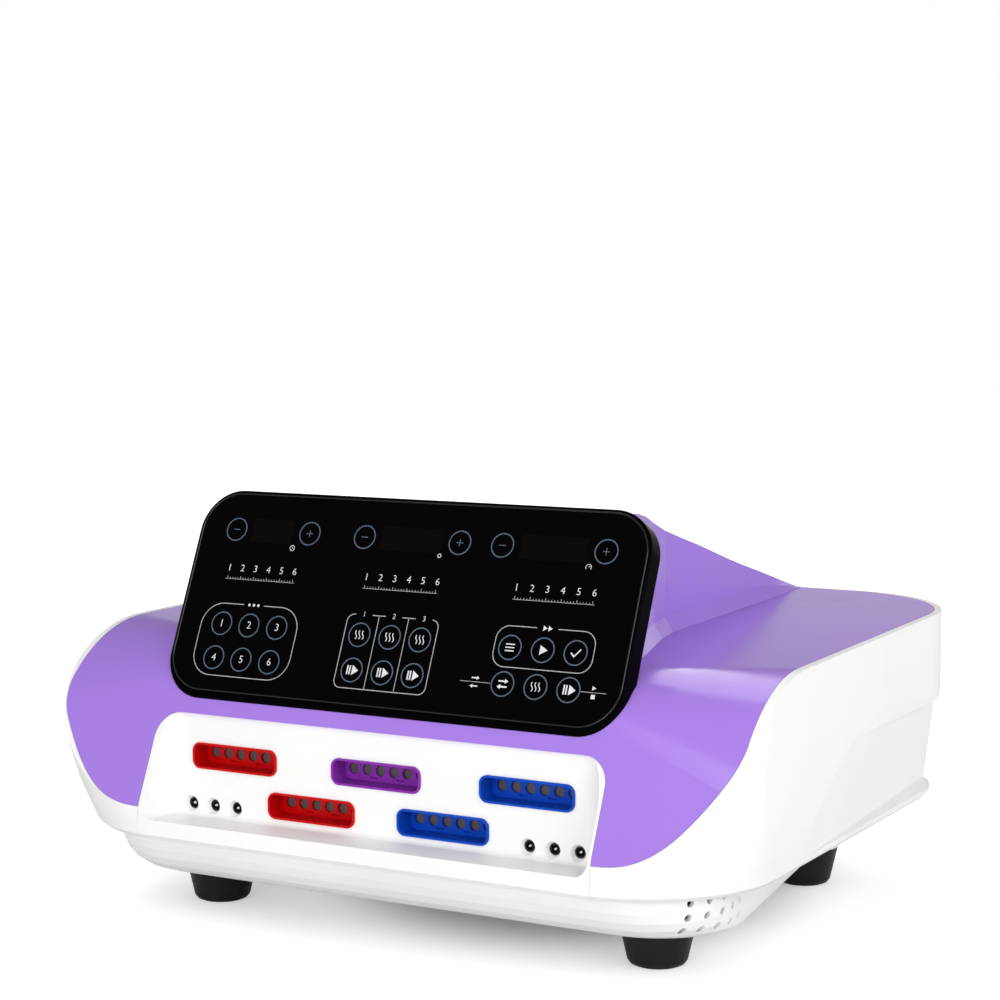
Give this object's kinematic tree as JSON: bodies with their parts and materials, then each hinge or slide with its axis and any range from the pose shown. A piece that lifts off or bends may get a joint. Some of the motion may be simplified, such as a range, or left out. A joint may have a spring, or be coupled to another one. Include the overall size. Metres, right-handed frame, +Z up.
{
  "type": "compression therapy pump",
  "caption": "Desktop air compression therapy pump with a tilted touch console, multi-way air sockets and heater jacks on the front, and a lilac cover over a white housing.",
  "frame": {"origin": "on the floor under the middle of the housing, at the bottom of the feet", "axes": "+Z up, +X to the right side seen from the front, -Y out of the front where the sockets are"},
  "size_m": [0.4608, 0.4074, 0.2555],
  "materials": {
    "white_shell": "gloss",
    "purple_cover": "gloss",
    "black_bezel": "gloss",
    "black_glass": "polished",
    "red_socket": "gloss",
    "violet_socket": "gloss",
    "blue_socket": "gloss",
    "grey_rubber": "matte",
    "black_rubber": "matte",
    "black_plastic": "matte",
    "bright_pin": "polished",
    "zinc_screw": "satin",
    "white_panel": "satin",
    "green_board": "satin",
    "display_case": "satin",
    "silicone_hose": "satin",
    "cast_metal": "satin",
    "core_steel": "satin",
    "copper_winding": "satin",
    "valve_body": "satin",
    "steel_plate": "satin"
  },
  "bodies": {
    "housing": {"side_shell": "white_shell", "front_connector_panel": "white_shell", "bottom_tray": "white_shell", "top_cover": "purple_cover", "console_hood": "purple_cover", "panel_bezel": "black_bezel", "touch_glass": "black_glass", "display_board": "green_board", "display_modules": "display_case", "air_socket_left_upper": "red_socket", "air_socket_left_lower": "red_socket", "air_socket_centre": "violet_socket", "air_socket_right_lower": "blue_socket", "air_socket_right_upper": "blue_socket", "port_seals": "grey_rubber", "jack_sleeves": "black_plastic", "jack_pins": "bright_pin", "foot_front_left": "black_rubber", "foot_front_right": "black_rubber", "foot_rear_left": "black_rubber", "foot_rear_right": "black_rubber", "foot_screws": "zinc_screw", "case_screws": "zinc_screw", "fan_screws": "zinc_screw", "rear_panel": "white_panel", "mains_inlet": "black_plastic", "inlet_blades": "bright_pin", "fuse_holder": "black_plastic", "switch_frame": "black_plastic", "fan_frame": "black_plastic", "pump_mounts": "grey_rubber", "pump_frame": "cast_metal", "pump_cores": "core_steel", "pump_head_left": "black_plastic", "pump_head_right": "black_plastic", "pump_diaphragms": "black_rubber", "valve_manifold": "valve_body", "manifold_legs": "valve_body", "valve_coils": "core_steel", "ribbon_hoses": "silicone_hose", "pump_hose": "silicone_hose", "board_standoffs": "valve_body", "main_board": "green_board", "board_components": "black_plastic", "transformer_core": "core_steel", "transformer_winding": "copper_winding", "transformer_bracket": "steel_plate"},
    "power_rocker": {"power_rocker": "black_plastic"},
    "fan_rotor": {"fan_rotor": "black_plastic"},
    "pump_armature": {"pump_armature": "core_steel"},
    "fuse_cap": {"fuse_cap": "black_plastic"},
    "valve_plunger_1": {"valve_plunger_1": "zinc_screw"},
    "valve_plunger_2": {"valve_plunger_2": "zinc_screw"},
    "valve_plunger_3": {"valve_plunger_3": "zinc_screw"},
    "valve_plunger_4": {"valve_plunger_4": "zinc_screw"},
    "valve_plunger_5": {"valve_plunger_5": "zinc_screw"},
    "valve_plunger_6": {"valve_plunger_6": "zinc_screw"}
  },
  "joints": [
    {"name": "rocker_tilt", "type": "hinge", "parent": "housing", "child": "power_rocker", "pos_m": [0.004, 0.1905, 0.106], "axis": [1, 0, 0], "range_deg": [-18, 0]},
    {"name": "fan_spin", "type": "hinge", "parent": "housing", "child": "fan_rotor", "pos_m": [-0.05, 0.183, 0.106], "axis": [0, 1, 0], "continuous": true},
    {"name": "armature_stroke", "type": "slide", "parent": "housing", "child": "pump_armature", "axis": [1, 0, 0], "range_m": [-0.0025, 0.0025], "stiffness_N_per_m": 800},
    {"name": "fuse_cap_turn", "type": "hinge", "parent": "housing", "child": "fuse_cap", "pos_m": [0.032, 0.198, 0.106], "axis": [0, 1, 0], "range_deg": [0, 60]},
    {"name": "valve_1_lift", "type": "slide", "parent": "housing", "child": "valve_plunger_1", "axis": [0, 1, 0], "range_m": [0, 0.002], "stiffness_N_per_m": 150},
    {"name": "valve_2_lift", "type": "slide", "parent": "housing", "child": "valve_plunger_2", "axis": [0, 1, 0], "range_m": [0, 0.002], "stiffness_N_per_m": 150},
    {"name": "valve_3_lift", "type": "slide", "parent": "housing", "child": "valve_plunger_3", "axis": [0, 1, 0], "range_m": [0, 0.002], "stiffness_N_per_m": 150},
    {"name": "valve_4_lift", "type": "slide", "parent": "housing", "child": "valve_plunger_4", "axis": [0, 1, 0], "range_m": [0, 0.002], "stiffness_N_per_m": 150},
    {"name": "valve_5_lift", "type": "slide", "parent": "housing", "child": "valve_plunger_5", "axis": [0, 1, 0], "range_m": [0, 0.002], "stiffness_N_per_m": 150},
    {"name": "valve_6_lift", "type": "slide", "parent": "housing", "child": "valve_plunger_6", "axis": [0, 1, 0], "range_m": [0, 0.002], "stiffness_N_per_m": 150}
  ]
}
